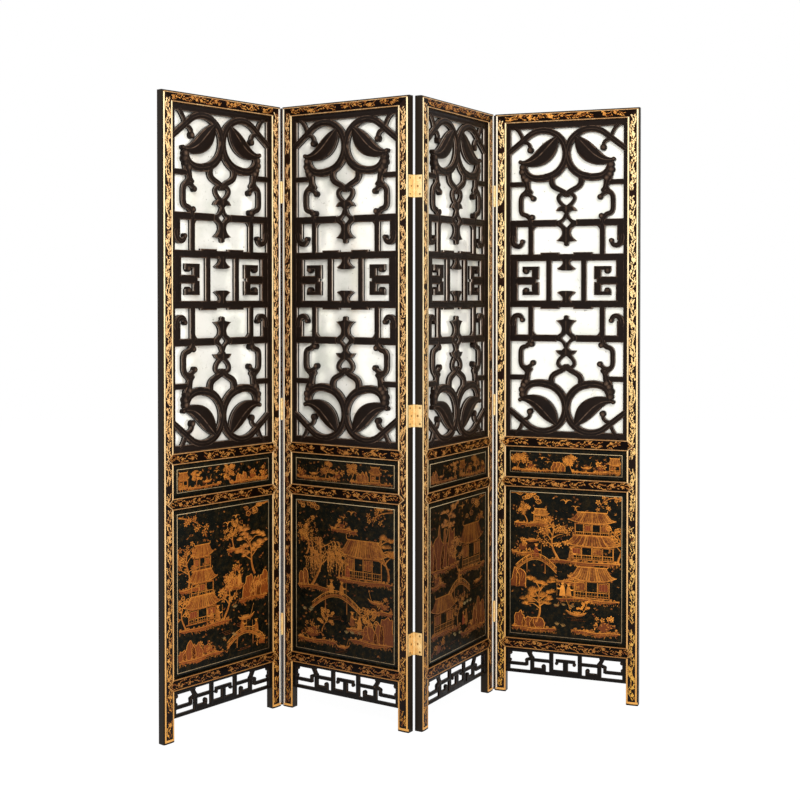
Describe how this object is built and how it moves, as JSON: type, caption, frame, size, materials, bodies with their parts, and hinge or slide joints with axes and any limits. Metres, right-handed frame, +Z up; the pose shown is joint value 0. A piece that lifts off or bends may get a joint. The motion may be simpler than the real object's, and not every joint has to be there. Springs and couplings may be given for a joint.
{
  "type": "folding screen",
  "caption": "Free-standing folding lacquer screen: hinged leaves with gilt-edged frames, dark fretwork over antiqued mirror, fielded panels and an open apron fret below.",
  "frame": {"origin": "on the floor, under the middle of the zigzag's bounding box", "axes": "+Z up the screen's height; +X along the row of leaves from leaf 1 to leaf 4; the decorated faces look towards -Y"},
  "size_m": [1.4126, 0.526, 1.83],
  "materials": {
    "frame_lacquer": "satin dark brown lacquer, gilt painted lines and sprays on the face, black edges",
    "fret_lacquer": "satin dark brown lacquer, rubbed edges",
    "panel_lacquer": "gloss green-black lacquer with raised gilt decoration",
    "back_lacquer": "satin black lacquer board",
    "antique_mirror": "silvered glass with foxed, mottled silvering",
    "hinge_brass": "bright rolled brass, lightly tarnished",
    "screw_brass": "turned brass, slotted heads",
    "gilding": "gold leaf and gold paint, raised and rubbed"
  },
  "bodies": {
    "leaf_1": {"leaf_1_left_stile": "frame_lacquer", "leaf_1_right_stile": "frame_lacquer", "leaf_1_top_rail": "frame_lacquer", "leaf_1_frieze_rails": "frame_lacquer", "leaf_1_bottom_rail": "frame_lacquer", "leaf_1_fretwork": "fret_lacquer", "leaf_1_mirror": "antique_mirror", "leaf_1_backboard": "back_lacquer", "leaf_1_frieze_panel": "panel_lacquer", "leaf_1_lower_panel": "panel_lacquer", "leaf_1_apron_fret": "fret_lacquer", "leaf_1_screws": "screw_brass", "fold_1_left_plates": "hinge_brass", "fold_1_pins": "hinge_brass"},
    "leaf_2": {"leaf_2_left_stile": "frame_lacquer", "leaf_2_right_stile": "frame_lacquer", "leaf_2_top_rail": "frame_lacquer", "leaf_2_frieze_rails": "frame_lacquer", "leaf_2_bottom_rail": "frame_lacquer", "leaf_2_fretwork": "fret_lacquer", "leaf_2_mirror": "antique_mirror", "leaf_2_backboard": "back_lacquer", "leaf_2_frieze_panel": "panel_lacquer", "leaf_2_lower_panel": "panel_lacquer", "leaf_2_apron_fret": "fret_lacquer", "leaf_2_screws": "screw_brass", "fold_2_left_plates": "hinge_brass", "fold_2_pins": "hinge_brass", "fold_1_right_plates": "hinge_brass"},
    "leaf_3": {"leaf_3_left_stile": "frame_lacquer", "leaf_3_right_stile": "frame_lacquer", "leaf_3_top_rail": "frame_lacquer", "leaf_3_frieze_rails": "frame_lacquer", "leaf_3_bottom_rail": "frame_lacquer", "leaf_3_fretwork": "fret_lacquer", "leaf_3_mirror": "antique_mirror", "leaf_3_backboard": "back_lacquer", "leaf_3_frieze_panel": "panel_lacquer", "leaf_3_lower_panel": "panel_lacquer", "leaf_3_apron_fret": "fret_lacquer", "leaf_3_screws": "screw_brass", "fold_3_left_plates": "hinge_brass", "fold_3_pins": "hinge_brass", "fold_2_right_plates": "hinge_brass"},
    "leaf_4": {"leaf_4_left_stile": "frame_lacquer", "leaf_4_right_stile": "frame_lacquer", "leaf_4_top_rail": "frame_lacquer", "leaf_4_frieze_rails": "frame_lacquer", "leaf_4_bottom_rail": "frame_lacquer", "leaf_4_fretwork": "fret_lacquer", "leaf_4_mirror": "antique_mirror", "leaf_4_backboard": "back_lacquer", "leaf_4_frieze_panel": "panel_lacquer", "leaf_4_lower_panel": "panel_lacquer", "leaf_4_apron_fret": "fret_lacquer", "leaf_4_screws": "screw_brass", "fold_3_right_plates": "hinge_brass"}
  },
  "joints": [
    {"name": "fold_1", "type": "hinge", "parent": "leaf_2", "child": "leaf_1", "pos_m": [-0.39071, 0.08316, 0], "axis": [0, 0, 1], "range_deg": [-82.5, 97.5]},
    {"name": "fold_2", "type": "hinge", "parent": "leaf_2", "child": "leaf_3", "pos_m": [0.01039, -0.14084, 0], "axis": [0, 0, 1], "range_deg": [-92.1, 87.9]},
    {"name": "fold_3", "type": "hinge", "parent": "leaf_3", "child": "leaf_4", "pos_m": [0.26941, 0.2386, 0], "axis": [0, 0, 1], "range_deg": [-100, 80]}
  ]
}
